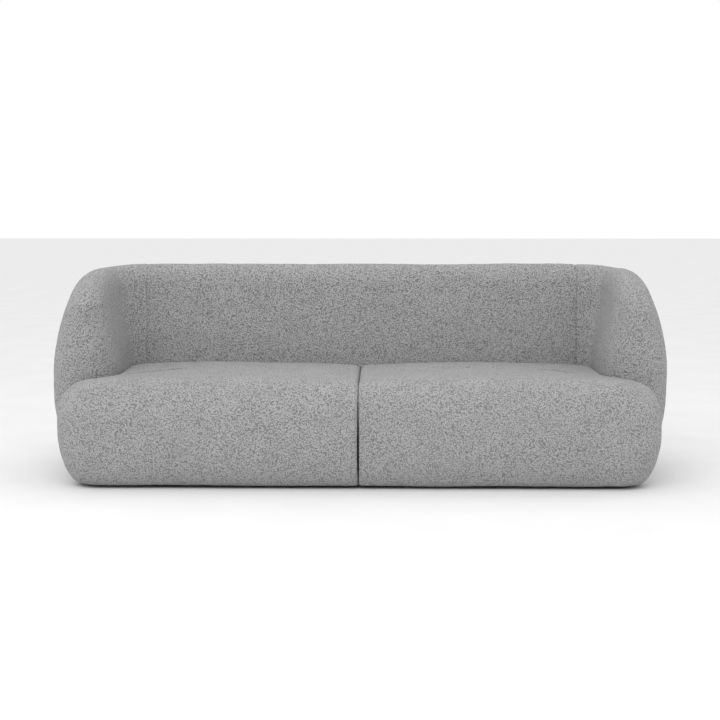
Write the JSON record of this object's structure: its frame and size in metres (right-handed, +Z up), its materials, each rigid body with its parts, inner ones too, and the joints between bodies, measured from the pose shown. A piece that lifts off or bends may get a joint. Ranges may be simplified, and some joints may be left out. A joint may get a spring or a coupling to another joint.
{
  "type": "sofa",
  "caption": "Low plump sofa with a wrap-round back and arm shell and deep seat blocks that sink on sinuous springs, covered in looped fabric.",
  "frame": {"origin": "on the floor, in the middle of the sofa's box", "axes": "+X along the sofa to the sitter's left, seen from the front to the right; +Y to the back; +Z up"},
  "size_m": [2.3608, 0.9202, 0.8],
  "materials": {
    "boucle": "matte",
    "foam": "matte",
    "fibre": "matte",
    "felt": "matte",
    "board": "matte",
    "plywood": "matte",
    "timber": "matte",
    "spring_steel": "satin",
    "zinc_steel": "satin",
    "dust_cloth": "matte",
    "glide_plastic": "matte"
  },
  "bodies": {
    "frame": {"arm_feet": "glide_plastic", "back_cover": "boucle", "back_feet": "glide_plastic", "back_foam": "foam", "back_lining_board": "board", "back_ribs": "plywood", "foot_screws": "zinc_steel", "joining_plates": "zinc_steel", "left_arm_cover": "boucle", "left_arm_foam": "foam", "left_arm_lining_board": "board", "left_arm_rail": "timber", "left_arm_ribs": "plywood", "left_corner_blocks": "timber", "left_cross_rail": "timber", "left_ear_post": "timber", "left_front_board": "plywood", "left_front_foam": "foam", "left_front_rail": "timber", "left_rear_rail": "timber", "left_seam_rail": "timber", "left_seat_cover": "boucle", "left_seat_dust_cover": "dust_cloth", "left_seat_springs": "spring_steel", "left_spring_clips": "zinc_steel", "plate_screws": "zinc_steel", "right_arm_cover": "boucle", "right_arm_foam": "foam", "right_arm_lining_board": "board", "right_arm_rail": "timber", "right_arm_ribs": "plywood", "right_corner_blocks": "timber", "right_cross_rail": "timber", "right_ear_post": "timber", "right_front_board": "plywood", "right_front_foam": "foam", "right_front_rail": "timber", "right_rear_rail": "timber", "right_seam_rail": "timber", "right_seat_cover": "boucle", "right_seat_dust_cover": "dust_cloth", "right_seat_springs": "spring_steel", "right_spring_clips": "zinc_steel", "seat_bolts": "zinc_steel", "seat_feet": "glide_plastic", "shell_base_plate": "plywood", "shell_belt_rail": "plywood", "shell_dust_cover": "dust_cloth", "shell_top_plate": "plywood"},
    "left_seat_pad": {"left_seat_foam": "foam", "left_fibre_wrap": "fibre", "left_insulator_felt": "felt"},
    "right_seat_pad": {"right_seat_foam": "foam", "right_fibre_wrap": "fibre", "right_insulator_felt": "felt"}
  },
  "joints": [
    {"name": "left_seat_sink", "type": "slide", "parent": "frame", "child": "left_seat_pad", "axis": [0, 0, 1], "range_m": [-0.032, 0], "stiffness_N_per_m": 16000, "springref_m": 0.012, "deforming": ["left_seat_springs", "left_seat_cover"]},
    {"name": "right_seat_sink", "type": "slide", "parent": "frame", "child": "right_seat_pad", "axis": [0, 0, 1], "range_m": [-0.032, 0], "stiffness_N_per_m": 16000, "springref_m": 0.012, "deforming": ["right_seat_springs", "right_seat_cover"]}
  ]
}
